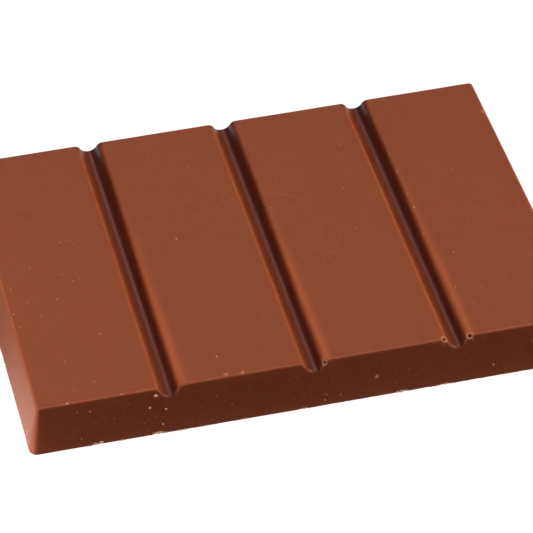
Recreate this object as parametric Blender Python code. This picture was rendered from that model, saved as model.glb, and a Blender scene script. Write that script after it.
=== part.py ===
"""A milk chocolate bar, moulded in one piece.

The bar is a low slab that was poured into a mould and turned out. Its sides lean in
towards the top, as every moulded bar's do, and three grooves cross it from the front
face to the back one, so that it snaps into four panels. The two end panels are as wide
on their flat top as the two middle ones. It lies on the flat back that was the open
face of the mould.

Metres, +Z up. The origin is at the middle of the flat base, X runs along the bar from
panel to panel, and the grooves run along Y.
"""
from math import cos, pi, radians, sin, tan

import bmesh
import bpy
from mathutils import Matrix

MM = 0.001

# Driving dimensions
PANEL_COUNT = 4                     # panels along the bar, with a groove between each two
GROOVE_PITCH = 22.0 * MM            # from one groove's centre line to the next
END_PANEL_LENGTH = 19.9 * MM        # from the outer groove's centre line to the top's end
TOP_WIDTH = 64.7 * MM               # across the top, along the grooves
THICKNESS = 7.35 * MM               # from the base to the panels
DRAFT_ANGLE = radians(14)           # lean of all four sides
GROOVE_DEPTH = 1.55 * MM            # from the panels to the groove's floor
GROOVE_WALL_ANGLE = radians(58)     # slope of a groove's walls
GROOVE_FLOOR_RADIUS = 1.4 * MM      # round of a groove's floor
GROOVE_SHOULDER_RADIUS = 1.25 * MM  # round between a groove's wall and the panel
UPRIGHT_CORNER_RADIUS = 0.9 * MM    # seen from above
EDGE_ROUND_WIDTH = 0.68 * MM        # straight across the round of the top's rim

# How finely the rounds are faceted
CORNER_SEGMENTS = 4
EDGE_SEGMENTS = 4
FLOOR_SEGMENTS = 10
SHOULDER_SEGMENTS = 5

CUTTER_CLEARANCE = 3.0 * MM         # how far a cutter stands past the bar
SHARP_ANGLE = radians(35)           # edges sharper than this get rounded
BASE_ZONE = 0.1 * MM                # edges this low belong to the base and stay sharp

# Worked out from the driving dimensions
GROOVE_COUNT = PANEL_COUNT - 1
TOP_LENGTH = (GROOVE_COUNT - 1) * GROOVE_PITCH + 2 * END_PANEL_LENGTH
SIDE_OVERHANG = THICKNESS * tan(DRAFT_ANGLE)
BASE_LENGTH = TOP_LENGTH + 2 * SIDE_OVERHANG
BASE_WIDTH = TOP_WIDTH + 2 * SIDE_OVERHANG

CHOCOLATE_COLOUR = (0.246, 0.069, 0.037, 1.0)
CHOCOLATE_ROUGHNESS = 0.38


def clear_scene():
    """Remove every object that the scene starts with."""
    for existing in list(bpy.data.objects):
        bpy.data.objects.remove(existing, do_unlink=True)


def new_collection(name):
    """Make a collection in the scene."""
    collection = bpy.data.collections.new(name)
    bpy.context.scene.collection.children.link(collection)
    return collection


def chocolate_material():
    """Milk chocolate with the soft gloss that a polished mould leaves."""
    material = bpy.data.materials.new("milk_chocolate")
    material.use_nodes = True
    shader = material.node_tree.nodes["Principled BSDF"]
    shader.inputs["Base Color"].default_value = CHOCOLATE_COLOUR
    shader.inputs["Roughness"].default_value = CHOCOLATE_ROUGHNESS
    shader.inputs["Metallic"].default_value = 0.0
    return material


def slab_mesh():
    """The slab without its grooves: a box with leaning sides and rounded upright corners."""
    bm = bmesh.new()
    bmesh.ops.create_cube(bm, size=1.0)
    bmesh.ops.translate(bm, vec=(0.0, 0.0, 0.5), verts=bm.verts)
    bmesh.ops.scale(bm, vec=(BASE_LENGTH, BASE_WIDTH, THICKNESS), verts=bm.verts)
    top_corners = [vert for vert in bm.verts if vert.co.z > THICKNESS / 2]
    top_shrink = (TOP_LENGTH / BASE_LENGTH, TOP_WIDTH / BASE_WIDTH, 1.0)
    bmesh.ops.scale(bm, vec=top_shrink, verts=top_corners)
    upright_edges = [
        edge for edge in bm.edges
        if abs(edge.verts[0].co.z - edge.verts[1].co.z) > THICKNESS / 2
    ]
    bmesh.ops.bevel(
        bm, geom=upright_edges, affect="EDGES", offset=UPRIGHT_CORNER_RADIUS,
        segments=CORNER_SEGMENTS, profile=0.5, material=-1,
    )
    mesh = bpy.data.meshes.new("slab")
    bm.to_mesh(mesh)
    bm.free()
    return mesh


def groove_half_outline():
    """The right half of a groove's cross section, from the floor's middle to the cutter's top.

    The floor's round runs into the straight wall, and the wall into the shoulder's round.
    The shoulder's last facet goes on a little past the panel, so that the cutter leaves the
    bar cleanly. The first number is across the groove and the second is the height.
    """
    floor_centre_height = THICKNESS - GROOVE_DEPTH + GROOVE_FLOOR_RADIUS
    half = []
    for step in range(FLOOR_SEGMENTS // 2 + 1):
        turn = GROOVE_WALL_ANGLE * step / (FLOOR_SEGMENTS // 2)
        across = GROOVE_FLOOR_RADIUS * sin(turn)
        height = floor_centre_height - GROOVE_FLOOR_RADIUS * cos(turn)
        half.append((across, height))
    foot_across, foot_height = half[-1]
    wall_end_across = foot_across + (THICKNESS - foot_height) / tan(GROOVE_WALL_ANGLE)
    shoulder_across = wall_end_across + GROOVE_SHOULDER_RADIUS * tan(GROOVE_WALL_ANGLE / 2)
    for step in range(SHOULDER_SEGMENTS + 1):
        turn = GROOVE_WALL_ANGLE * (1.0 - step / SHOULDER_SEGMENTS)
        across = shoulder_across - GROOVE_SHOULDER_RADIUS * sin(turn)
        height = THICKNESS - GROOVE_SHOULDER_RADIUS * (1.0 - cos(turn))
        half.append((across, height))
    level_with_panel = half.pop()
    last = half[-1]
    past_panel_across = 2 * level_with_panel[0] - last[0]
    half.append((past_panel_across, 2 * level_with_panel[1] - last[1]))
    half.append((past_panel_across, THICKNESS + CUTTER_CLEARANCE))
    return half


def groove_outline():
    """A groove's whole cross section, from the left top round the floor to the right top."""
    right_half = groove_half_outline()
    left_half = [(-across, height) for across, height in reversed(right_half[1:])]
    return left_half + right_half


def groove_cutter_mesh():
    """The groove's cross section as a solid that runs along Y, past both faces."""
    outline = groove_outline()
    curve = bpy.data.curves.new("groove_outline", "CURVE")
    curve.dimensions = "2D"
    curve.fill_mode = "BOTH"
    curve.extrude = BASE_WIDTH / 2 + CUTTER_CLEARANCE
    spline = curve.splines.new("POLY")
    spline.points.add(len(outline) - 1)
    spline.use_cyclic_u = True
    for point, (across, height) in zip(spline.points, outline):
        point.co = (across, height, 0.0, 1.0)
    guide = bpy.data.objects.new("groove_outline", curve)
    bpy.context.scene.collection.objects.link(guide)
    depsgraph = bpy.context.evaluated_depsgraph_get()
    mesh = bpy.data.meshes.new_from_object(guide.evaluated_get(depsgraph))
    bpy.data.objects.remove(guide, do_unlink=True)
    bm = bmesh.new()
    bm.from_mesh(mesh)
    bmesh.ops.remove_doubles(bm, verts=bm.verts, dist=0.00001)
    bmesh.ops.transform(bm, matrix=Matrix.Rotation(pi / 2, 4, "X"), verts=bm.verts)
    bmesh.ops.recalc_face_normals(bm, faces=bm.faces)
    bm.to_mesh(mesh)
    bm.free()
    return mesh


def groove_positions():
    """Where the grooves' centre lines lie along the bar."""
    first = -(GROOVE_COUNT - 1) * GROOVE_PITCH / 2
    return [first + index * GROOVE_PITCH for index in range(GROOVE_COUNT)]


def add_groove_cutters(collection):
    """Place one cutter for each groove."""
    mesh = groove_cutter_mesh()
    cutters = []
    for index, along in enumerate(groove_positions(), start=1):
        cutter = bpy.data.objects.new(f"groove_cutter_{index}", mesh)
        cutter.location.x = along
        cutter.hide_render = True
        cutter.display_type = "WIRE"
        collection.objects.link(cutter)
        cutters.append(cutter)
    return cutters


def cut(body, cutters):
    """Cut the cutters out of the body and make the result its mesh."""
    for cutter in cutters:
        boolean = body.modifiers.new(cutter.name, "BOOLEAN")
        boolean.operation = "DIFFERENCE"
        boolean.solver = "EXACT"
        boolean.object = cutter
    depsgraph = bpy.context.evaluated_depsgraph_get()
    mesh = bpy.data.meshes.new_from_object(body.evaluated_get(depsgraph))
    body.modifiers.clear()
    body.data = mesh


def round_edges(mesh):
    """Round the top's rim and the grooves' ends, but not the base."""
    bm = bmesh.new()
    bm.from_mesh(mesh)
    bmesh.ops.dissolve_limit(
        bm, angle_limit=radians(0.5), verts=bm.verts, edges=bm.edges,
    )
    sharp_edges = []
    for edge in bm.edges:
        above_base = all(vert.co.z > BASE_ZONE for vert in edge.verts)
        if above_base and edge.calc_face_angle_signed() > SHARP_ANGLE:
            sharp_edges.append(edge)
    bmesh.ops.bevel(
        bm, geom=sharp_edges, affect="EDGES", offset_type="WIDTH",
        offset=EDGE_ROUND_WIDTH, segments=EDGE_SEGMENTS, profile=0.5, material=-1,
        clamp_overlap=False,
    )
    bmesh.ops.remove_doubles(bm, verts=bm.verts, dist=0.000002)
    bm.to_mesh(mesh)
    bm.free()


def add_bar(collection, cutters):
    """The whole bar, one solid."""
    bar = bpy.data.objects.new("chocolate_bar", slab_mesh())
    collection.objects.link(bar)
    cut(bar, cutters)
    round_edges(bar.data)
    bar.data.materials.clear()
    bar.data.materials.append(chocolate_material())
    bar.data.shade_smooth()
    bar.data.set_sharp_from_angle(angle=SHARP_ANGLE)
    return bar


def main():
    clear_scene()
    bar_collection = new_collection("chocolate_bar")
    cutter_collection = new_collection("cutters")
    cutters = add_groove_cutters(cutter_collection)
    bpy.context.view_layer.update()
    add_bar(bar_collection, cutters)


main()
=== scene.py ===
import random
from math import cos, pi, radians, sin, sqrt, tan

import bmesh
import bpy
from mathutils import Matrix, Vector, noise
from mathutils.bvhtree import BVHTree


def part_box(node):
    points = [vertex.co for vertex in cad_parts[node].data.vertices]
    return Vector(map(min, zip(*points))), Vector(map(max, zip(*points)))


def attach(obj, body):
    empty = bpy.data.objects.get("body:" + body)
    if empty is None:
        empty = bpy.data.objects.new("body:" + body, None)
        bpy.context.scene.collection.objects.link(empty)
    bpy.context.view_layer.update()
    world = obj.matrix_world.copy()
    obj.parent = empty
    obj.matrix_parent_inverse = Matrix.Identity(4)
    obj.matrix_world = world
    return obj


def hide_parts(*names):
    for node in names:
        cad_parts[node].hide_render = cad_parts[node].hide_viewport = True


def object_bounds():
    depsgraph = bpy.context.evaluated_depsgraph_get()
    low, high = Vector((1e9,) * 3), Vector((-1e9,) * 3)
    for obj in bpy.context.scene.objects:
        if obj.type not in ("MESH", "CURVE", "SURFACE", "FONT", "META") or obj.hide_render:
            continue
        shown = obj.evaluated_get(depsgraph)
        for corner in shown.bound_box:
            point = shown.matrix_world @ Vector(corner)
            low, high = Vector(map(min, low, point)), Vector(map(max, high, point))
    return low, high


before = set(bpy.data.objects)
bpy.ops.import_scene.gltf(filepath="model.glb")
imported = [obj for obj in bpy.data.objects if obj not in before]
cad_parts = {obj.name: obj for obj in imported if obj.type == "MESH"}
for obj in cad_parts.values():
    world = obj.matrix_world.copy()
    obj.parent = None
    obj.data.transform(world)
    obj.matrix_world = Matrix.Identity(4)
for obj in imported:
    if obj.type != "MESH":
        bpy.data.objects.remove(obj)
cad_low, cad_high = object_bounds()


# Camera: a long lens that looks down on the bar from its front, a little left of the grooves'
# line, and close enough for the bar to fill the view from side to side.
CAMERA_AZIMUTH = radians(11.263)
CAMERA_ELEVATION = radians(36.942)
CAMERA_ROLL = radians(-2.659)
CAMERA_DISTANCE = 0.58919
CAMERA_TARGET = Vector((-0.000675, -0.003017, 0.0038))
CAMERA_LENS = 256.66
SENSOR_WIDTH = 36.0

toward_scene = Vector((
    sin(CAMERA_AZIMUTH) * cos(CAMERA_ELEVATION),
    cos(CAMERA_AZIMUTH) * cos(CAMERA_ELEVATION),
    -sin(CAMERA_ELEVATION),
))
camera_data = bpy.data.cameras.new("camera")
camera_data.lens = CAMERA_LENS
camera_data.sensor_width = SENSOR_WIDTH
camera_data.clip_start = 0.01
camera_data.clip_end = 10.0
camera = bpy.data.objects.new("camera", camera_data)
camera_place = Matrix.Translation(CAMERA_TARGET - toward_scene * CAMERA_DISTANCE)
camera_turn = toward_scene.to_track_quat("-Z", "Y").to_matrix().to_4x4()
camera.matrix_world = camera_place @ camera_turn @ Matrix.Rotation(CAMERA_ROLL, 4, "Z")
bpy.context.scene.collection.objects.link(camera)
bpy.context.scene.camera = camera
bpy.context.scene.view_settings.view_transform = "Standard"


# Bar: milk chocolate cast in one piece in a polished mould and turned out on its flat back.
# A block with leaning sides gets three grooves and its rounds. Then it is cut into a fine net,
# which takes the soft waves, the pits that air bubbles left and the chipped back edge.
MM = 0.001
GROOVE_CENTRES = [-22.0 * MM, 0.0, 22.0 * MM]
GROOVE_DEPTH = 1.55 * MM
GROOVE_SLOPE = radians(62)
GROOVE_FLOOR_RADIUS = 1.38 * MM
GROOVE_SHOULDER_RADIUS = 1.1 * MM
GROOVE_REACH = 2.6 * MM             # from its centre line to where its strips end
GROOVE_STRIPS = 17                  # on each side of its centre line
DRAFT = radians(14)                 # lean of all four sides
TOP_CORNER_ROUND = 0.6 * MM
BASE_CORNER_ROUND = 1.3 * MM
EDGE_ROUND_WIDTH = 0.68 * MM
BACK_EDGE_ROUND = 0.16 * MM
BACK_ZONE = 0.1 * MM                # edges this low were poured, not moulded
SHARP_ANGLE = radians(35)           # edges sharper than this get rounded
CLEAR_OF_CAD = 0.05 * MM            # how far its top and sides stay inside the CAD box
SURFACE_STEP = 0.55 * MM            # the net's mesh size
FLAT_MARGIN = 1.0 * MM              # the rounds have strips of their own, so the net ends here
WAVE_DEPTH = 0.025 * MM             # how far the moulded faces sink in their waves
WAVE_SIZE = 7.0 * MM
BACK_WAVE_DEPTH = 0.09 * MM         # the back was only levelled off, so it waves more
BACK_WAVE_SIZE = 5.0 * MM
RAGGED_DEPTH = 0.09 * MM            # how far the back's edge wanders inwards
RAGGED_SIZES = [1.7 * MM, 0.6 * MM]
RAGGED_HEIGHT = 0.45 * MM
CHIP_HEIGHT = 0.7 * MM              # how far up the sides a chip reaches
CHIP_REACH_IN = 0.9 * MM            # and how far in from the edge
CHIP_MESH_SIZE = 0.16 * MM
CHIP_GRAIN = 0.35 * MM

# Pits that air bubbles left: place, radius and depth, all in millimetres.
PITS = [
    ((20.15, -32.2, 7.25), 0.34, 0.65),
    ((23.85, -32.4, 7.2), 0.34, 0.65),
    ((1.5, -32.5, 6.8), 0.28, 0.5),
    ((-10.8, -32.0, 7.25), 0.13, 0.12),
    ((-13.2, -31.9, 7.28), 0.09, 0.08),
    ((41.6, 23.6, 7.0), 0.3, 0.12),
    ((-43.0, -30.1, 1.2), 0.24, 0.1),
    ((9.4, -33.2, 3.4), 0.12, 0.1),
    ((33.5, -32.8, 4.6), 0.1, 0.08),
    ((12.0, 33.4, 4.2), 0.16, 0.14),
    ((-27.5, 33.1, 5.4), 0.12, 0.1),
    ((-7.0, 8.0, 0.0), 0.34, 0.3),
    ((18.0, -14.0, 0.0), 0.26, 0.25),
    ((-30.0, -21.0, 0.0), 0.22, 0.2),
    ((31.0, 19.5, 0.0), 0.3, 0.26),
    ((-19.0, 25.0, 0.0), 0.2, 0.2),
]

# Chips out of the back's edge: place, half length and depth, all in millimetres.
CHIPS = [
    ((-24.3, -34.1, 0.0), 1.0, 0.26),
    ((-33.4, -34.1, 0.0), 0.9, 0.12),
    ((12.9, -34.1, 0.0), 1.1, 0.14),
    ((19.6, -34.1, 0.0), 0.8, 0.1),
    ((-2.0, -34.1, 0.0), 0.6, 0.07),
    ((-43.6, -12.0, 0.0), 0.8, 0.2),
    ((-43.6, 21.0, 0.0), 0.6, 0.18),
    ((43.6, 4.0, 0.0), 0.9, 0.22),
    ((43.6, -24.0, 0.0), 0.6, 0.16),
    ((16.0, 34.1, 0.0), 0.9, 0.24),
    ((-14.0, 34.1, 0.0), 0.6, 0.18),
]

bar_low, bar_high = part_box("chocolate_bar")
top_height = bar_high.z - CLEAR_OF_CAD
base_half_length = bar_high.x - CLEAR_OF_CAD
base_half_width = bar_high.y - CLEAR_OF_CAD
top_half_length = base_half_length - top_height * tan(DRAFT)
top_half_width = base_half_width - top_height * tan(DRAFT)


def all_geometry(bm):
    """Everything in the mesh, as bisect_plane wants it."""
    return bm.verts[:] + bm.edges[:] + bm.faces[:]


def slice_along(bm, axis, places):
    """Cut through the whole mesh at each place along an axis, and keep both sides."""
    for place in places:
        point = Vector((0.0, 0.0, 0.0))
        point[axis] = place
        normal = Vector((0.0, 0.0, 0.0))
        normal[axis] = 1.0
        bmesh.ops.bisect_plane(
            bm, geom=all_geometry(bm), dist=0.00002 * MM, plane_co=point, plane_no=normal,
        )


def even_places(half_span, step):
    """Places from one side of the middle to the other, evenly spaced."""
    count = int(2 * half_span / step)
    return [-half_span + 2 * half_span * index / count for index in range(count + 1)]


def fade(value, start, end):
    """0 at start, 1 at end, and smooth between them."""
    part = min(max((value - start) / (end - start), 0.0), 1.0)
    return part * part * (3 - 2 * part)


def block_with_leaning_sides():
    """The slab before it has grooves. Its upright corners get rounder towards the back."""
    bm = bmesh.new()
    bmesh.ops.create_cube(bm, size=2.0)
    bmesh.ops.translate(bm, vec=(0.0, 0.0, 1.0), verts=bm.verts)
    bmesh.ops.scale(
        bm, vec=(base_half_length, base_half_width, top_height / 2), verts=bm.verts,
    )
    top_corners = [vert for vert in bm.verts if vert.co.z > top_height / 2]
    bmesh.ops.scale(
        bm, verts=top_corners,
        vec=(top_half_length / base_half_length, top_half_width / base_half_width, 1.0),
    )
    uprights = [
        edge for edge in bm.edges
        if abs(edge.verts[0].co.z - edge.verts[1].co.z) > top_height / 2
    ]
    bmesh.ops.bevel(
        bm, geom=uprights, affect="EDGES", offset=TOP_CORNER_ROUND, segments=6,
        profile=0.5, material=-1,
    )
    widen = BASE_CORNER_ROUND / TOP_CORNER_ROUND
    corner_reach = 2.5 * TOP_CORNER_ROUND
    for side_x in (-1, 1):
        for side_y in (-1, 1):
            corner = Vector((side_x * base_half_length, side_y * base_half_width, 0.0))
            around = [vert for vert in bm.verts if (vert.co - corner).length < corner_reach]
            bmesh.ops.scale(
                bm, vec=(widen, widen, 1.0), verts=around,
                space=Matrix.Translation(-corner),
            )
    return bm


def groove_drop(across):
    """How far the surface lies below the panels at a distance from a groove's centre line.

    The floor and the shoulders are arcs, and a straight wall joins them.
    """
    across = abs(across)
    floor_end = GROOVE_FLOOR_RADIUS * sin(GROOVE_SLOPE)
    floor_rise = GROOVE_FLOOR_RADIUS * (1 / cos(GROOVE_SLOPE) - 1)
    corner = (GROOVE_DEPTH + floor_rise) / tan(GROOVE_SLOPE)
    shoulder_end = corner + GROOVE_SHOULDER_RADIUS * tan(GROOVE_SLOPE / 2)
    shoulder_start = shoulder_end - GROOVE_SHOULDER_RADIUS * sin(GROOVE_SLOPE)
    if across >= shoulder_end:
        return 0.0
    if across > shoulder_start:
        left_to_go = shoulder_end - across
        return GROOVE_SHOULDER_RADIUS - sqrt(GROOVE_SHOULDER_RADIUS ** 2 - left_to_go ** 2)
    if across > floor_end:
        return (corner - across) * tan(GROOVE_SLOPE)
    rise = GROOVE_FLOOR_RADIUS - sqrt(GROOVE_FLOOR_RADIUS ** 2 - across ** 2)
    return GROOVE_DEPTH - rise


def deepest_drop(along):
    """The drop at a place along the bar, whichever groove is near it."""
    return max(groove_drop(along - centre) for centre in GROOVE_CENTRES)


def press_grooves(bm):
    """Cut the top into strips along each groove and press the strips down to its shape."""
    for centre in GROOVE_CENTRES:
        steps = range(-GROOVE_STRIPS, GROOVE_STRIPS + 1)
        slice_along(bm, 0, [centre + GROOVE_REACH * step / GROOVE_STRIPS for step in steps])
    for vert in bm.verts:
        if vert.co.z > top_height / 2:
            drop = deepest_drop(vert.co.x)
            vert.co.z -= drop
            vert.co.y += drop * tan(DRAFT) * (1 if vert.co.y > 0 else -1)


def round_moulded_edges(bm):
    """Round the rim and the grooves' ends widely, and the back's edge only a little."""
    bm.normal_update()
    moulded = []
    poured = []
    for edge in bm.edges:
        heights = [vert.co.z for vert in edge.verts]
        if edge.calc_face_angle_signed() > SHARP_ANGLE:
            if min(heights) > BACK_ZONE:
                moulded.append(edge)
            elif max(heights) < BACK_ZONE:
                poured.append(edge)
    bmesh.ops.bevel(
        bm, geom=moulded, affect="EDGES", offset_type="WIDTH", offset=EDGE_ROUND_WIDTH,
        segments=7, profile=0.5, material=-1,
    )
    bmesh.ops.bevel(
        bm, geom=poured, affect="EDGES", offset=BACK_EDGE_ROUND, segments=3, profile=0.5,
        material=-1,
    )


def refine_near(bm, centre, reach, edge_length):
    """Halve the edges around a place until they are short enough for its detail."""
    while True:
        long_edges = [
            edge for edge in bm.edges
            if (edge.verts[0].co - centre).length < reach
            and (edge.verts[1].co - centre).length < reach
            and edge.calc_length() > edge_length
        ]
        if not long_edges:
            return
        bmesh.ops.subdivide_edges(bm, edges=long_edges, cuts=1, use_grid_fill=True)


def press_pits(bm):
    """Sink each pit and give the pits' centres and radii."""
    surface = BVHTree.FromBMesh(bm)
    pit_centres = []
    for place, radius, depth in PITS:
        radius *= MM
        centre, normal, index, distance = surface.find_nearest(Vector(place) * MM)
        pit_centres.append((centre, radius))
        refine_near(bm, centre, 2.4 * radius + 0.3 * MM, 0.45 * radius)
        for vert in bm.verts:
            away = (vert.co - centre).length / radius
            if away < 1.25:
                vert.co -= normal * depth * MM * (1 - fade(away, 0.45, 1.1))
    return pit_centres


def on_long_side(place):
    """Whether a place at the bar's foot is on a long side of it and not on an end."""
    return base_half_width - abs(place.y) < base_half_length - abs(place.x)


def chip_back_edge(bm):
    """Break the chips out of the back's edge and let the whole edge wander a little."""
    for place, half_length, depth in CHIPS:
        centre = Vector(place) * MM
        refine_near(bm, centre, (half_length + 0.6) * MM, CHIP_MESH_SIZE)
        along_axis = 0 if on_long_side(centre) else 1
        for vert in bm.verts:
            offset = vert.co - centre
            along = abs(offset[along_axis]) / (half_length * MM)
            off_edge = abs(offset[1 - along_axis]) / CHIP_REACH_IN
            if along < 1 and off_edge < 1 and vert.co.z < CHIP_HEIGHT:
                jag = 0.65 + 0.5 * noise.noise(vert.co / CHIP_GRAIN)
                bite = depth * MM * jag * (1 - fade(along, 0.55, 1.0)) * (1 - off_edge)
                bite *= 1 - fade(vert.co.z, 0.25 * MM, CHIP_HEIGHT)
                vert.co[1 - along_axis] -= bite * (1 if centre[1 - along_axis] > 0 else -1)
    for vert in bm.verts:
        if vert.co.z < RAGGED_HEIGHT:
            to_end = base_half_length - abs(vert.co.x)
            to_side = base_half_width - abs(vert.co.y)
            amount = RAGGED_DEPTH * (1 - fade(vert.co.z, 0.0, RAGGED_HEIGHT))
            amount *= 1 - fade(min(to_end, to_side), 0.3 * MM, 1.6 * MM)
            wander = sum(noise.noise(vert.co / size) for size in RAGGED_SIZES)
            amount *= min(max(0.5 + 0.6 * wander, 0.0), 1.0)
            if to_end < to_side:
                vert.co.x -= amount * (1 if vert.co.x > 0 else -1)
            else:
                vert.co.y -= amount * (1 if vert.co.y > 0 else -1)


def let_faces_wave(bm):
    """Sink the faces a little here and there: the moulded ones softly, the back more."""
    bm.normal_update()
    sinks = []
    for vert in bm.verts:
        if vert.normal.z < -0.9:
            from_edge = min(base_half_length - abs(vert.co.x), base_half_width - abs(vert.co.y))
            swell = 0.5 + 0.5 * noise.fractal(vert.co / BACK_WAVE_SIZE, 0.9, 2.0, 3)
            sinks.append(BACK_WAVE_DEPTH * swell * fade(from_edge, 0.5 * MM, 2.5 * MM))
        else:
            swell = 0.5 + 0.5 * noise.noise(vert.co / WAVE_SIZE)
            sinks.append(WAVE_DEPTH * swell * fade(vert.co.z, 0.2 * MM, 1.0 * MM))
    for vert, sink in zip(bm.verts, sinks):
        vert.co -= vert.normal * min(max(sink, 0.0), BACK_WAVE_DEPTH)


# How the skin's look changes from place to place
RIGHT_SHOULDER_PAINTED_GLOW = 0.85                # painted highlight on the grooves' right shoulders, which face the light on the left
# The grooves' left shoulders get a weaker painted highlight.
LEFT_SHOULDER_PAINTED_GLOW = 0.35
PAINTED_SHADOW_SHIFT = 0.45 * MM         # painted shadow: the dark side of a groove's floor is wider at its far end
NOTCH_HOLLOW = 0.42                 # how hollow the grooves' far ends count as, which polishes them and paints some shade on them
NOTCH_HALF_WIDTH = 2.2 * MM
# Painted highlight: the pits' lips are painted paler.
PIT_LIP_PAINTED_HIGHLIGHT = 0.8
CHIP_PALENESS = 0.6
CHIP_PALE_HEIGHT = 0.5 * MM

FACE_DIRECTIONS = [Vector((0.0, 0.0, 1.0)), Vector((0.0, 0.0, -1.0))]
for face_x, face_y in ((1, 0), (-1, 0), (0, 1), (0, -1)):
    FACE_DIRECTIONS.append(Vector((face_x * cos(DRAFT), face_y * cos(DRAFT), sin(DRAFT))))


def plateau(value, rise_start, rise_end, fall_start, fall_end):
    """0 outside, 1 between, and smooth at both sides."""
    return fade(value, rise_start, rise_end) * (1 - fade(value, fall_start, fall_end))


def groove_marks(co):
    """How hollow a point of the surface is, which also paints shade there, and how much painted
    shoulder highlight it has.
    """
    drop = deepest_drop(co.x)
    off_surface = abs(top_height - drop - co.z)
    across = min((co.x - centre for centre in GROOVE_CENTRES), key=abs)
    toward_front = fade(-co.y, -24.0 * MM, 26.0 * MM)
    right_shoulder = plateau(across, 1.1 * MM, 1.8 * MM, 2.0 * MM, 3.3 * MM)
    left_shoulder = plateau(-across, 1.4 * MM, 1.75 * MM, 1.8 * MM, 2.4 * MM)
    # The shoulders' painted highlight fades out towards the back end.
    glow = max(RIGHT_SHOULDER_PAINTED_GLOW * right_shoulder, LEFT_SHOULDER_PAINTED_GLOW * left_shoulder) * toward_front
    if off_surface >= 0.3 * MM:
        glow = 0.0
    # Towards the far end the painted shadow on a groove's right side is pushed further out.
    if across > 0:
        drop = groove_drop(max(across - PAINTED_SHADOW_SHIFT * (1 - toward_front), 0.0))
    depth_there = drop / GROOVE_DEPTH * (0.5 + 0.5 * fade(across, 0.15 * MM, 0.7 * MM))
    hollow = depth_there * (1 - fade(off_surface, 0.1 * MM, 0.4 * MM))
    if abs(across) < NOTCH_HALF_WIDTH and co.y > top_half_width - FLAT_MARGIN:
        hollow = max(hollow, NOTCH_HOLLOW * fade(co.z, 4.0 * MM, 5.0 * MM))
    return hollow, glow


def pit_marks(co, pit_centres):
    """How pale the painted highlight on the pits' lips makes a point, and how hollow the pits make
    it, which paints shade in them.
    """
    pale = 0.0
    hollow = 0.0
    for centre, radius in pit_centres:
        away = (co - centre).length / radius
        if away < 2.5:
            pale = max(pale, PIT_LIP_PAINTED_HIGHLIGHT * plateau(away, 0.85, 1.15, 1.25, 2.1))
            hollow = max(hollow, 1 - fade(away, 0.6, 1.0))
    return pale, hollow


def chip_paleness(co):
    """How pale the fresh chips in the back's edge make a point."""
    pale = 0.0
    for place, half_length, depth in CHIPS:
        away = (co - Vector(place) * MM).length / (half_length * MM)
        if away < 1.0 and co.z < CHIP_PALE_HEIGHT:
            low = 1 - fade(co.z, 0.2 * MM, CHIP_PALE_HEIGHT)
            pale = max(pale, CHIP_PALENESS * (1 - fade(away, 0.5, 1.0)) * low)
    return pale


def mark_surface(bm, pit_centres):
    """Write down how deep in a groove each point is (painted shade), how pale (with a painted
    highlight on the pits' lips), and how far round an edge or on a shoulder it is (painted glow).
    """
    bm.normal_update()
    # The rim attribute is painted glow: a brighter colour on the edge rounds and the grooves'
    # shoulders that stands in for light.
    rim = bm.verts.layers.float.new("rim")
    hollow = bm.verts.layers.float.new("hollow")
    paleness = bm.verts.layers.float.new("paleness")
    for vert in bm.verts:
        groove_hollow, glow = groove_marks(vert.co)
        facing = max(vert.normal.dot(direction) for direction in FACE_DIRECTIONS)
        edge_round = (1 - fade(facing, 0.82, 0.975)) * (1 - fade(groove_hollow, 0.0, 0.3))
        vert[rim] = max(edge_round, glow)
        pit_pale, pit_hollow = pit_marks(vert.co, pit_centres)
        vert[hollow] = max(groove_hollow, pit_hollow)
        vert[paleness] = max(pit_pale, chip_paleness(vert.co))


bar_mesh = block_with_leaning_sides()
press_grooves(bar_mesh)
round_moulded_edges(bar_mesh)
slice_along(bar_mesh, 0, even_places(top_half_length - FLAT_MARGIN, SURFACE_STEP))
slice_along(bar_mesh, 1, even_places(top_half_width - FLAT_MARGIN, SURFACE_STEP))
slice_along(bar_mesh, 2, [0.3 * MM] + [SURFACE_STEP * step for step in range(1, 12)])
bmesh.ops.remove_doubles(bar_mesh, verts=bar_mesh.verts, dist=0.002 * MM)
bmesh.ops.recalc_face_normals(bar_mesh, faces=bar_mesh.faces)
pit_centres = press_pits(bar_mesh)
chip_back_edge(bar_mesh)
let_faces_wave(bar_mesh)
mark_surface(bar_mesh, pit_centres)
bmesh.ops.recalc_face_normals(bar_mesh, faces=bar_mesh.faces)
bar_surface = BVHTree.FromBMesh(bar_mesh)

bar_data = bpy.data.meshes.new("bar")
bar_mesh.to_mesh(bar_data)
bar_mesh.free()
bar_data.shade_smooth()
bar = bpy.data.objects.new("bar", bar_data)
bpy.context.scene.collection.objects.link(bar)


def place_node(tree, kind, values=(), **settings):
    """Add a shader node with its settings and the values of its unlinked sockets."""
    node = tree.nodes.new(kind)
    for name, value in settings.items():
        setattr(node, name, value)
    for socket, value in dict(values).items():
        node.inputs[socket].default_value = value
    return node


def calculate(tree, operation, *terms):
    """A Math node's result. Each term is a number or another node's output."""
    node = place_node(tree, "ShaderNodeMath", operation=operation)
    for socket, term in zip(node.inputs, terms):
        if isinstance(term, bpy.types.NodeSocket):
            tree.links.new(term, socket)
        else:
            socket.default_value = term
    return node.outputs["Value"]


def remap(tree, value, start, end, low, high):
    """Stretch a value's range from start..end to low..high, smoothly, and stop at both."""
    node = place_node(
        tree, "ShaderNodeMapRange", {1: start, 2: end, 3: low, 4: high},
        interpolation_type="SMOOTHSTEP",
    )
    tree.links.new(value, node.inputs["Value"])
    return node.outputs["Result"]


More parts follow.
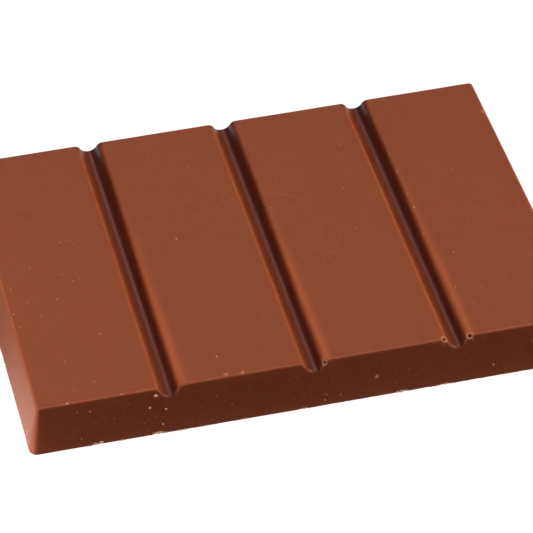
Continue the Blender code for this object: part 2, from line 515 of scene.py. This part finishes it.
def blend_colours(tree, blend_type, amount, first, second):
    """Mix two colours. Each is four numbers or another node's output."""
    node = place_node(tree, "ShaderNodeMix", data_type="RGBA", blend_type=blend_type)
    for index, term in ((0, amount), (6, first), (7, second)):
        socket = node.inputs[index]
        if isinstance(term, bpy.types.NodeSocket):
            tree.links.new(term, socket)
        else:
            socket.default_value = term
    return node.outputs[2]


def blotches(tree, place, scale, detail, low, high):
    """Soft blotches all over, between low and high."""
    node = place_node(tree, "ShaderNodeTexNoise", {"Scale": scale, "Detail": detail})
    tree.links.new(place, node.inputs["Vector"])
    return remap(tree, node.outputs["Fac"], 0.3, 0.7, low, high)


# What milk chocolate looks like close up, for the bar and for what broke off it: blotches
# where the cocoa butter set unevenly, a fine grain, and a paler, duller skin where it chipped.
chocolate_skin = bpy.data.node_groups.new("chocolate_skin", "ShaderNodeTree")
for socket_name, socket_type in (
    ("Chocolate", "NodeSocketColor"), ("Pale", "NodeSocketColor"), ("Paleness", "NodeSocketFloat"),
):
    chocolate_skin.interface.new_socket(socket_name, in_out="INPUT", socket_type=socket_type)
for socket_name, socket_type in (
    ("Color", "NodeSocketColor"), ("Roughness", "NodeSocketFloat"), ("Height", "NodeSocketFloat"),
):
    chocolate_skin.interface.new_socket(socket_name, in_out="OUTPUT", socket_type=socket_type)
skin_in = place_node(chocolate_skin, "NodeGroupInput")
skin_out = place_node(chocolate_skin, "NodeGroupOutput")
skin_place = place_node(chocolate_skin, "ShaderNodeTexCoord").outputs["Object"]
cloudy = blotches(chocolate_skin, skin_place, 70.0, 3.0, 0.98, 1.02)
patchy = blotches(chocolate_skin, skin_place, 420.0, 4.0, 0.97, 1.03)
grainy = blotches(chocolate_skin, skin_place, 2600.0, 2.0, 0.955, 1.045)
shade = calculate(chocolate_skin, "MULTIPLY", cloudy, patchy)
shade = calculate(chocolate_skin, "MULTIPLY", shade, grainy)
shaded = place_node(chocolate_skin, "ShaderNodeVectorMath", operation="SCALE")
chocolate_skin.links.new(skin_in.outputs["Chocolate"], shaded.inputs[0])
chocolate_skin.links.new(shade, shaded.inputs["Scale"])
pale_or_not = blend_colours(
    chocolate_skin, "MIX", skin_in.outputs["Paleness"], shaded.outputs[0], skin_in.outputs["Pale"],
)
dull = blotches(chocolate_skin, skin_place, 160.0, 4.0, 0.57, 0.63)
duller = calculate(chocolate_skin, "MULTIPLY_ADD", skin_in.outputs["Paleness"], 0.25, dull)
fine_waves = blotches(chocolate_skin, skin_place, 700.0, 2.0, 0.0, 0.6)
fine_grain = blotches(chocolate_skin, skin_place, 5200.0, 1.0, 0.0, 0.4)
chocolate_skin.links.new(pale_or_not, skin_out.inputs["Color"])
chocolate_skin.links.new(duller, skin_out.inputs["Roughness"])
chocolate_skin.links.new(
    calculate(chocolate_skin, "ADD", fine_waves, fine_grain), skin_out.inputs["Height"],
)

CHOCOLATE = (0.376, 0.080, 0.0215, 1.0)
PAINTED_EDGE_GLOW_CHOCOLATE = (0.58, 0.132, 0.035, 1.0)   # painted glow on the edge rounds, standing in for light that shines through the thin edges
PALE_CHOCOLATE = (0.86, 0.38, 0.20, 1.0)
GROOVE_PAINTED_SHADE = (0.30, 0.11, 0.02, 1.0)       # painted shade: deep in the grooves and pits it is darker
GROOVE_POLISH = 0.24                        # how much glossier the grooves are than the panels

# Marks that the mould left in the top: rings (middle, radius, half width of the line) and
# strokes (start, end, half width), in millimetres, each with how strongly it shows.
MOULD_RINGS = [
    ((0.0, 0.0), 11.4, 0.5, 0.4),
    ((0.6, 0.4), 8.2, 0.45, 0.3),
    ((-17.8, -29.7), 1.15, 0.14, 1.0),
]
MARK_PALENESS = 0.3
MOULD_STROKES = [
    ((-34.2, -7.2), (-35.3, -20.4), 0.13, 0.9),
    ((-36.4, 17.5), (-33.4, 16.7), 0.3, 0.7),
    ((-37.6, 10.9), (-34.9, 10.5), 0.26, 0.5),
    ((-3.4, 13.6), (-6.6, 7.6), 0.16, 0.5),
    ((7.8, 3.2), (3.4, -6.2), 0.2, 0.35),
    ((27.8, 24.6), (31.4, 20.2), 0.16, 0.35),
]

chocolate = bpy.data.materials.new("moulded_chocolate")
chocolate.use_nodes = True
tree = chocolate.node_tree
shader = tree.nodes["Principled BSDF"]
shader.inputs["IOR"].default_value = 1.45
shader.inputs["Subsurface Weight"].default_value = 1.0
shader.inputs["Subsurface Radius"].default_value = (1.0, 0.35, 0.15)
shader.inputs["Subsurface Scale"].default_value = 0.12 * MM

place = place_node(tree, "ShaderNodeTexCoord").outputs["Object"]
flattened = place_node(
    tree, "ShaderNodeVectorMath", {1: (1.0, 1.0, 0.0)}, operation="MULTIPLY",
)
tree.links.new(place, flattened.inputs[0])
flat_place = flattened.outputs[0]
height = place_node(tree, "ShaderNodeSeparateXYZ")
tree.links.new(place, height.inputs[0])
on_top = remap(tree, height.outputs["Z"], top_height - 0.3 * MM, top_height - 0.1 * MM, 0.0, 1.0)


def ring_mask(middle, radius, half_width):
    """1 on a thin ring in the top, 0 elsewhere."""
    away = place_node(tree, "ShaderNodeVectorMath", operation="DISTANCE")
    away.inputs[1].default_value = (middle[0] * MM, middle[1] * MM, 0.0)
    tree.links.new(flat_place, away.inputs[0])
    off_line = calculate(tree, "SUBTRACT", away.outputs["Value"], radius * MM)
    off_line = calculate(tree, "ABSOLUTE", off_line)
    return remap(tree, off_line, 0.0, half_width * MM, 1.0, 0.0)


def stroke_mask(start, end, half_width):
    """1 along a thin stroke in the top, 0 elsewhere."""
    start = Vector((*start, 0.0)) * MM
    end = Vector((*end, 0.0)) * MM
    direction = (end - start).normalized()
    across = direction.cross(Vector((0.0, 0.0, 1.0)))
    middle = (start + end) / 2
    distances = []
    for axis in (direction, across):
        measure = place_node(tree, "ShaderNodeVectorMath", {1: axis}, operation="DOT_PRODUCT")
        tree.links.new(flat_place, measure.inputs[0])
        offset = calculate(tree, "SUBTRACT", measure.outputs["Value"], middle.dot(axis))
        distances.append(calculate(tree, "ABSOLUTE", offset))
    half_length = (end - start).length / 2
    lengthwise = remap(tree, distances[0], 0.7 * half_length, half_length, 1.0, 0.0)
    crosswise = remap(tree, distances[1], 0.0, half_width * MM, 1.0, 0.0)
    return calculate(tree, "MULTIPLY", lengthwise, crosswise)


mark = 0.0
for middle, radius, half_width, strength in MOULD_RINGS:
    mark = calculate(tree, "MULTIPLY_ADD", ring_mask(middle, radius, half_width), strength, mark)
for start, end, half_width, strength in MOULD_STROKES:
    mark = calculate(tree, "MULTIPLY_ADD", stroke_mask(start, end, half_width), strength, mark)
broken_up = blotches(tree, place, 1400.0, 2.0, 0.0, 1.0)
mark = calculate(tree, "MULTIPLY", mark, on_top)
mark = calculate(tree, "MULTIPLY", mark, broken_up)
here_and_there = blotches(tree, place, 75.0, 0.0, 0.0, 1.0)
mark = calculate(tree, "MULTIPLY", mark, here_and_there)

paleness = place_node(tree, "ShaderNodeAttribute", attribute_name="paleness")
hollow = place_node(tree, "ShaderNodeAttribute", attribute_name="hollow")
# The paleness attribute holds the pale chips and also the painted highlight on the pits' lips.
pale_amount = calculate(tree, "MULTIPLY_ADD", mark, MARK_PALENESS, paleness.outputs["Fac"])
skin = place_node(tree, "ShaderNodeGroup", node_tree=chocolate_skin)
# Painted edge glow: the rim attribute mixes a brighter colour into the edge rounds and the grooves'
# shoulders.
painted_edge_glow = place_node(tree, "ShaderNodeAttribute", attribute_name="rim")
colour_with_painted_edge_glow = blend_colours(tree, "MIX", painted_edge_glow.outputs["Fac"], CHOCOLATE, PAINTED_EDGE_GLOW_CHOCOLATE)
tree.links.new(colour_with_painted_edge_glow, skin.inputs["Chocolate"])
skin.inputs["Pale"].default_value = PALE_CHOCOLATE
tree.links.new(pale_amount, skin.inputs["Paleness"])
in_groove = remap(tree, hollow.outputs["Fac"], 0.1, 0.4, 0.0, 1.0)
# Painted shade: the more hollow a point is, the more its colour is darkened.
painted_shade_amount = remap(tree, hollow.outputs["Fac"], 0.04, 0.85, 0.0, 1.0)
colour_with_painted_shade = blend_colours(tree, "MULTIPLY", painted_shade_amount, skin.outputs["Color"], GROOVE_PAINTED_SHADE)
tree.links.new(colour_with_painted_shade, shader.inputs["Base Color"])
polished = calculate(tree, "MULTIPLY_ADD", in_groove, -GROOVE_POLISH, skin.outputs["Roughness"])
tree.links.new(polished, shader.inputs["Roughness"])
relief = place_node(tree, "ShaderNodeBump", {"Strength": 0.35, "Distance": 0.012 * MM})
tree.links.new(
    calculate(tree, "MULTIPLY_ADD", mark, 1.5, skin.outputs["Height"]), relief.inputs["Height"],
)
tree.links.new(relief.outputs["Normal"], shader.inputs["Normal"])
bar_data.materials.append(chocolate)

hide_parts("chocolate_bar")
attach(bar, "root")


# Flecks: specks of pale cocoa butter and milk that set in the skin of the bar. A few dozen
# stand out, and many faint ones are scattered over the top and the sides.
TOP_FLECKS = [  # along, across and size, all in millimetres, and how pale
    (-31.2, 7.2, 0.15, 1.0), (-30.0, 7.3, 0.11, 0.6), (-29.2, 6.2, 0.09, 0.5),
    (-36.9, 1.8, 0.11, 0.8), (-32.4, -1.1, 0.13, 0.8), (-31.0, -3.2, 0.12, 0.7),
    (-30.0, -3.0, 0.09, 0.5), (-34.2, -7.0, 0.14, 0.8), (-38.8, -6.7, 0.09, 0.6),
    (-40.6, -2.7, 0.12, 0.8), (-41.3, -8.9, 0.14, 0.9), (-40.8, -12.3, 0.1, 0.7),
    (-37.4, -10.6, 0.12, 0.7), (-29.5, -17.2, 0.13, 0.8), (-28.2, -16.6, 0.08, 0.5),
    (-35.9, -22.4, 0.12, 0.8), (-32.5, -28.3, 0.1, 0.7), (-35.7, -29.9, 0.1, 0.7),
    (-37.3, -32.2, 0.12, 0.9), (-29.1, -32.2, 0.1, 0.7), (-13.4, 25.8, 0.09, 0.6),
    (-7.7, 21.7, 0.13, 0.9), (-13.5, 3.2, 0.16, 1.0), (-20.1, -3.6, 0.09, 0.6),
    (-14.9, -9.9, 0.08, 0.4), (-13.7, -27.3, 0.19, 1.0), (-4.9, -19.9, 0.09, 0.5),
    (1.1, 10.4, 0.09, 0.6), (2.4, 7.2, 0.1, 0.7), (5.0, 14.9, 0.08, 0.5), (14.6, 9.3, 0.12, 0.7),
    (14.0, -1.7, 0.11, 0.7), (17.0, 20.8, 0.11, 0.7), (24.0, 16.2, 0.1, 0.8),
    (24.0, 11.3, 0.11, 0.9), (24.0, 4.9, 0.1, 0.8), (24.1, 1.3, 0.12, 0.9), (23.7, -5.9, 0.11, 0.8),
    (32.5, 9.5, 0.09, 0.6), (26.7, 6.5, 0.08, 0.5), (31.5, -3.8, 0.1, 0.6), (39.9, -2.3, 0.09, 0.6),
    (27.0, -11.7, 0.11, 0.7), (25.0, -20.3, 0.13, 0.9), (28.9, -21.3, 0.11, 0.7),
    (33.1, -20.1, 0.09, 0.6), (26.6, -24.8, 0.12, 0.7), (-0.7, -14.5, 0.13, 0.9),
    (20.8, 14.8, 0.12, 0.8),
]
FRONT_FLECKS = [  # along, height and size, all in millimetres, and how pale
    (-24.1, 6.1, 0.2, 1.0), (-25.2, 4.4, 0.16, 0.9), (-22.8, 3.8, 0.15, 0.9),
    (-24.3, 2.9, 0.1, 0.6), (-23.5, 1.5, 0.16, 0.8), (-36.0, 5.6, 0.11, 0.6),
    (-34.1, 5.4, 0.12, 0.6), (-35.8, 1.4, 0.12, 0.6), (-30.6, 3.6, 0.11, 0.5),
    (1.4, 1.7, 0.13, 0.6), (1.1, 0.9, 0.13, 0.6), (3.6, 1.3, 0.13, 0.6), (-3.6, 1.9, 0.12, 0.5),
    (27.2, 1.9, 0.14, 0.8), (12.1, 1.6, 0.11, 0.5),
]
SCATTER = [  # which way the face looks, how many, and the largest size in millimetres
    ((0.0, -1.0), 240, 0.14),
    ((0.0, 1.0), 170, 0.14),
    ((-1.0, 0.0), 120, 0.13),
    ((1.0, 0.0), 120, 0.13),
]
TOP_SCATTER = 190
TOP_FLECK_GROWTH = 2.2              # how much larger than listed the top's flecks are made
TOP_FLECK_SINK = 0.6                # how deep a fleck's middle lies, as a share of its radius
FRONT_FLECK_SINK = 0.15
SIDE_REACH = 0.96                   # how far along a side the scatter goes

fleck_mesh = bmesh.new()
fleck_paleness = fleck_mesh.verts.layers.float.new("paleness")
chance = random.Random(4)


def set_fleck(near, size, pale, sink=0.5):
    """Set one small flattened grain into the bar's skin, as near as it gets to a place."""
    spot, normal, index, distance = bar_surface.find_nearest(near)
    radius = size * MM
    lie = Matrix.Translation(spot - normal * radius * sink)
    lie @= normal.to_track_quat("Z", "Y").to_matrix().to_4x4()
    lie @= Matrix.Rotation(chance.uniform(0.0, pi), 4, "Z")
    lie @= Matrix.Diagonal((radius * chance.uniform(1.0, 1.4), radius, radius * 0.85, 1.0))
    grain = bmesh.ops.create_icosphere(fleck_mesh, subdivisions=1, radius=1.0, matrix=lie)
    for vert in grain["verts"]:
        vert[fleck_paleness] = pale
        vert.co.z = min(vert.co.z, cad_high.z - CLEAR_OF_CAD / 4)


for along, across, size, pale in TOP_FLECKS:
    set_fleck(Vector((along, across, 7.3)) * MM, size * TOP_FLECK_GROWTH, pale, TOP_FLECK_SINK)
for along, up, size, pale in FRONT_FLECKS:
    spot = Vector((along * MM, -base_half_width + up * MM * tan(DRAFT), up * MM))
    growth = 0.3 + 1.2 * pale
    set_fleck(spot, size * growth, pale * pale, FRONT_FLECK_SINK)
for count in range(TOP_SCATTER):
    along = chance.uniform(-top_half_length, top_half_length)
    across = chance.uniform(-top_half_width, top_half_width)
    size = chance.uniform(0.05, 0.11)
    set_fleck(Vector((along, across, top_height)), size, chance.uniform(0.1, 0.5))
for (face_x, face_y), number, largest in SCATTER:
    for count in range(number):
        up = chance.uniform(0.4 * MM, 6.6 * MM)
        sideways = chance.uniform(-1.0, 1.0)
        lean = up * tan(DRAFT)
        along = face_x * (base_half_length - lean)
        along += abs(face_y) * sideways * SIDE_REACH * top_half_length
        across = face_y * (base_half_width - lean)
        across += abs(face_x) * sideways * SIDE_REACH * top_half_width
        size = chance.uniform(0.06, largest)
        set_fleck(Vector((along, across, up)), size, chance.uniform(0.05, 0.35))

fleck_data = bpy.data.meshes.new("flecks")
fleck_mesh.to_mesh(fleck_data)
fleck_mesh.free()
fleck_data.shade_smooth()
flecks = bpy.data.objects.new("flecks", fleck_data)
bpy.context.scene.collection.objects.link(flecks)

FLECK_COLOUR = (1.0, 0.62, 0.42, 1.0)
fleck_material = bpy.data.materials.new("pale_fleck")
fleck_material.use_nodes = True
tree = fleck_material.node_tree
shader = tree.nodes["Principled BSDF"]
paleness = place_node(tree, "ShaderNodeAttribute", attribute_name="paleness")
skin = place_node(tree, "ShaderNodeGroup", node_tree=chocolate_skin)
skin.inputs["Chocolate"].default_value = CHOCOLATE
skin.inputs["Pale"].default_value = FLECK_COLOUR
tree.links.new(paleness.outputs["Fac"], skin.inputs["Paleness"])
tree.links.new(skin.outputs["Color"], shader.inputs["Base Color"])
tree.links.new(skin.outputs["Roughness"], shader.inputs["Roughness"])
fleck_data.materials.append(fleck_material)
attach(flecks, "root")


# Crumbs: slivers of broken chocolate that hang on to the back's edge where it chipped when
# the bar was trimmed and turned out. Fresh breaks are paler and duller than the moulded skin.
CRUMBS = [  # along, across, height and size, all in millimetres, and how pale
    (-24.9, -34.1, 0.26, 0.16, 0.3), (-24.45, -34.1, 0.2, 0.2, 1.0), (-24.0, -34.1, 0.18, 0.2, 0.9),
    (-23.55, -34.1, 0.16, 0.16, 0.7), (-23.1, -34.1, 0.12, 0.12, 0.5),
    (-32.95, -34.1, 0.3, 0.2, 0.95), (-33.9, -34.1, 0.16, 0.17, 0.7),
    (-33.4, -34.1, 0.12, 0.13, 0.5), (-34.6, -34.1, 0.1, 0.12, 0.4),
    (-29.8, -34.1, 0.14, 0.13, 0.5), (-21.0, -34.1, 0.12, 0.12, 0.5),
    (-20.2, -34.1, 0.14, 0.13, 0.6), (12.2, -34.1, 0.12, 0.15, 0.8), (12.9, -34.1, 0.14, 0.17, 0.8),
    (13.6, -34.1, 0.12, 0.13, 0.6), (18.4, -34.1, 0.12, 0.13, 0.6), (19.7, -34.1, 0.12, 0.15, 0.7),
    (20.6, -34.1, 0.1, 0.12, 0.5), (-11.0, -34.1, 0.12, 0.12, 0.5), (-2.1, -34.1, 0.12, 0.12, 0.5),
    (31.0, -34.1, 0.12, 0.12, 0.5), (15.9, 34.1, 0.14, 0.17, 0.7), (16.5, 34.1, 0.12, 0.13, 0.5),
    (-14.2, 34.1, 0.12, 0.14, 0.6), (43.7, 4.2, 0.14, 0.16, 0.6), (43.7, -23.9, 0.12, 0.12, 0.5),
    (-43.7, -12.2, 0.14, 0.16, 0.6), (-43.7, 21.2, 0.12, 0.12, 0.5),
]
CRUMB_SINK = 0.15                   # how deep a crumb's middle lies, as a share of its radius
CRUMB_GROWTH = 1.6                  # how much larger than listed the crumbs are made
CRUMB_LENGTH = 1.7                  # these three are shares of a crumb's radius
CRUMB_WIDTH = 0.8
CRUMB_HEIGHT = 0.75
CRUMB_COLOUR = (1.0, 0.62, 0.38, 1.0)
FLOOR_GAP = 0.02 * MM

crumb_mesh = bmesh.new()
crumb_paleness = crumb_mesh.verts.layers.float.new("paleness")
for along, across, up, size, pale in CRUMBS:
    radius = size * CRUMB_GROWTH * MM
    near = Vector((along, across, up)) * MM
    spot, normal, index, distance = bar_surface.find_nearest(near)
    shape = (CRUMB_WIDTH, CRUMB_LENGTH)
    if on_long_side(near):
        shape = (CRUMB_LENGTH, CRUMB_WIDTH)
    lie = Matrix.Translation(spot - normal * radius * CRUMB_SINK)
    lie @= Matrix.Rotation(chance.uniform(-0.35, 0.35), 4, "Z")
    lie @= Matrix.Diagonal((radius * shape[0], radius * shape[1], radius * CRUMB_HEIGHT, 1.0))
    sliver = bmesh.ops.create_icosphere(crumb_mesh, subdivisions=2, radius=1.0, matrix=lie)
    middle = lie.translation
    for vert in sliver["verts"]:
        jag = 0.85 + 0.45 * noise.noise(vert.co / (0.5 * radius) + Vector((size, along, 0.0)))
        vert.co = middle + (vert.co - middle) * jag
        vert.co.z = max(vert.co.z, FLOOR_GAP)
        vert.co.y = min(max(vert.co.y, -base_half_width), base_half_width)
        vert.co.x = min(max(vert.co.x, -base_half_length), base_half_length)
        vert[crumb_paleness] = pale
bmesh.ops.recalc_face_normals(crumb_mesh, faces=crumb_mesh.faces)

crumb_data = bpy.data.meshes.new("crumbs")
crumb_mesh.to_mesh(crumb_data)
crumb_mesh.free()
crumbs = bpy.data.objects.new("crumbs", crumb_data)
bpy.context.scene.collection.objects.link(crumbs)

crumb_material = bpy.data.materials.new("broken_chocolate")
crumb_material.use_nodes = True
tree = crumb_material.node_tree
shader = tree.nodes["Principled BSDF"]
paleness = place_node(tree, "ShaderNodeAttribute", attribute_name="paleness")
skin = place_node(tree, "ShaderNodeGroup", node_tree=chocolate_skin)
skin.inputs["Chocolate"].default_value = CHOCOLATE
skin.inputs["Pale"].default_value = CRUMB_COLOUR
tree.links.new(paleness.outputs["Fac"], skin.inputs["Paleness"])
tree.links.new(skin.outputs["Color"], shader.inputs["Base Color"])
tree.links.new(skin.outputs["Roughness"], shader.inputs["Roughness"])
crumb_relief = place_node(tree, "ShaderNodeBump", {"Strength": 0.6, "Distance": 0.03 * MM})
tree.links.new(skin.outputs["Height"], crumb_relief.inputs["Height"])
tree.links.new(crumb_relief.outputs["Normal"], shader.inputs["Normal"])
crumb_data.materials.append(crumb_material)
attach(crumbs, "root")


# Floor and light: a plain white studio table that glows, two small soft boxes close to the
# left end, a wide dim one further off, two on the right, one overhead and two behind. The
# table also sends light up on the left, behind the bar and at the foot of its front face.
FLOOR_SIZE = 3.0
FLOOR_GLOW = 1.06
FLOOR_SEEN_DIFFUSE = 0.05           # how much of the table's look is real light and shadow
FLOOR_BOUNCE_LEFT = 1.9             # light that the table sends up where the low box lights it
FLOOR_BOUNCE_BEHIND = 0.8           # behind the bar
FLOOR_BOUNCE_FOOT = 0.35            # right at the foot of its front face
FLOOR_BOUNCE = 0.06                 # and everywhere else
CLOSE_TO_LONG_SIDES = 34.5 * MM     # just off the bar's front and back, from its middle
STUDIO_GLOW = 0.06

floor_mesh = bmesh.new()
bmesh.ops.create_grid(floor_mesh, x_segments=1, y_segments=1, size=FLOOR_SIZE / 2)
bmesh.ops.translate(floor_mesh, vec=(0.0, 0.0, -0.02 * MM), verts=floor_mesh.verts)
floor_data = bpy.data.meshes.new("floor")
floor_mesh.to_mesh(floor_data)
floor_mesh.free()
floor = bpy.data.objects.new("floor", floor_data)
bpy.context.scene.collection.objects.link(floor)

floor_material = bpy.data.materials.new("white_table")
floor_material.use_nodes = True
tree = floor_material.node_tree
tree.nodes.clear()
output = place_node(tree, "ShaderNodeOutputMaterial")
glow = place_node(tree, "ShaderNodeEmission", {"Strength": FLOOR_GLOW})
matt = place_node(tree, "ShaderNodeBsdfDiffuse", {"Color": (0.9, 0.9, 0.9, 1.0)})
seen = place_node(tree, "ShaderNodeMixShader", {"Fac": FLOOR_SEEN_DIFFUSE})
bounce = place_node(tree, "ShaderNodeEmission")
seen_or_bounced = place_node(tree, "ShaderNodeMixShader")
path = place_node(tree, "ShaderNodeLightPath")
place = place_node(tree, "ShaderNodeTexCoord").outputs["Object"]
on_table = place_node(tree, "ShaderNodeSeparateXYZ")
tree.links.new(place, on_table.inputs[0])
table_x = on_table.outputs["X"]
table_y = on_table.outputs["Y"]
beside_left_end = remap(tree, table_x, -43.9 * MM, -43.5 * MM, 1.0, 0.0)
near_the_front = remap(tree, table_y, -30.0 * MM, 2.0 * MM, 1.0, 0.12)
not_before_it = remap(tree, table_y, -40.0 * MM, -CLOSE_TO_LONG_SIDES, 0.0, 1.0)
lit_by_low_box = calculate(tree, "MULTIPLY", beside_left_end, near_the_front)
lit_by_low_box = calculate(tree, "MULTIPLY", lit_by_low_box, not_before_it)
behind = remap(
    tree, table_y, CLOSE_TO_LONG_SIDES, 36.0 * MM, FLOOR_BOUNCE, FLOOR_BOUNCE_BEHIND,
)
off_foot = calculate(tree, "ADD", table_y, CLOSE_TO_LONG_SIDES)
off_foot = calculate(tree, "ABSOLUTE", off_foot)
foot = remap(tree, off_foot, 0.4 * MM, 1.2 * MM, FLOOR_BOUNCE_FOOT, 0.0)
left_and_behind = calculate(tree, "MULTIPLY_ADD", lit_by_low_box, FLOOR_BOUNCE_LEFT, behind)
tree.links.new(calculate(tree, "ADD", left_and_behind, foot), bounce.inputs["Strength"])
tree.links.new(glow.outputs["Emission"], seen.inputs[1])
tree.links.new(matt.outputs["BSDF"], seen.inputs[2])
tree.links.new(path.outputs["Is Camera Ray"], seen_or_bounced.inputs["Fac"])
tree.links.new(bounce.outputs["Emission"], seen_or_bounced.inputs[1])
tree.links.new(seen.outputs["Shader"], seen_or_bounced.inputs[2])
tree.links.new(seen_or_bounced.outputs["Shader"], output.inputs["Surface"])
floor_data.materials.append(floor_material)


def soft_box(name, azimuth, elevation, distance, width, height, radiance, aim=(0.0, 0.0, 0.0)):
    """An area light that faces its aim. Azimuth 0 is behind the bar and 90 is its right."""
    toward = Vector((
        sin(radians(azimuth)) * cos(radians(elevation)),
        cos(radians(azimuth)) * cos(radians(elevation)),
        sin(radians(elevation)),
    ))
    data = bpy.data.lights.new(name, "AREA")
    data.shape = "RECTANGLE"
    data.size = width
    data.size_y = height
    data.energy = radiance * width * height * pi
    light = bpy.data.objects.new(name, data)
    light.matrix_world = (
        Matrix.Translation(Vector(aim) + toward * distance)
        @ toward.to_track_quat("Z", "Y").to_matrix().to_4x4()
    )
    light.visible_camera = False
    bpy.context.scene.collection.objects.link(light)


NEAR_END = (-0.04, -0.03, 0.0)
soft_box("left_box", -97, 40, 0.13, 0.033, 0.052, 9.2, NEAR_END)
soft_box("low_left_box", -92, 12, 0.13, 0.033, 0.04, 4.0, NEAR_END)
soft_box("far_left_box", -70, 9, 1.0, 0.55, 0.3, 0.9)
soft_box("right_box", 113, 52, 1.0, 0.38, 0.3, 7.9)
soft_box("near_right_box", 100, 35, 0.2, 0.08, 0.08, 3.2, (0.03, -0.02, 0.0))
soft_box("overhead_box", 0, 85, 1.0, 0.3, 0.3, 5.6)
soft_box("back_box", 0, 60, 1.0, 0.3, 0.3, 2.7)
soft_box("low_back_box", 0, 33, 1.0, 0.35, 0.35, 0.8)

world = bpy.data.worlds.new("studio")
bpy.context.scene.world = world
world.use_nodes = True
background = world.node_tree.nodes["Background"]
background.inputs["Color"].default_value = (1.0, 1.0, 1.0, 1.0)
background.inputs["Strength"].default_value = STUDIO_GLOW
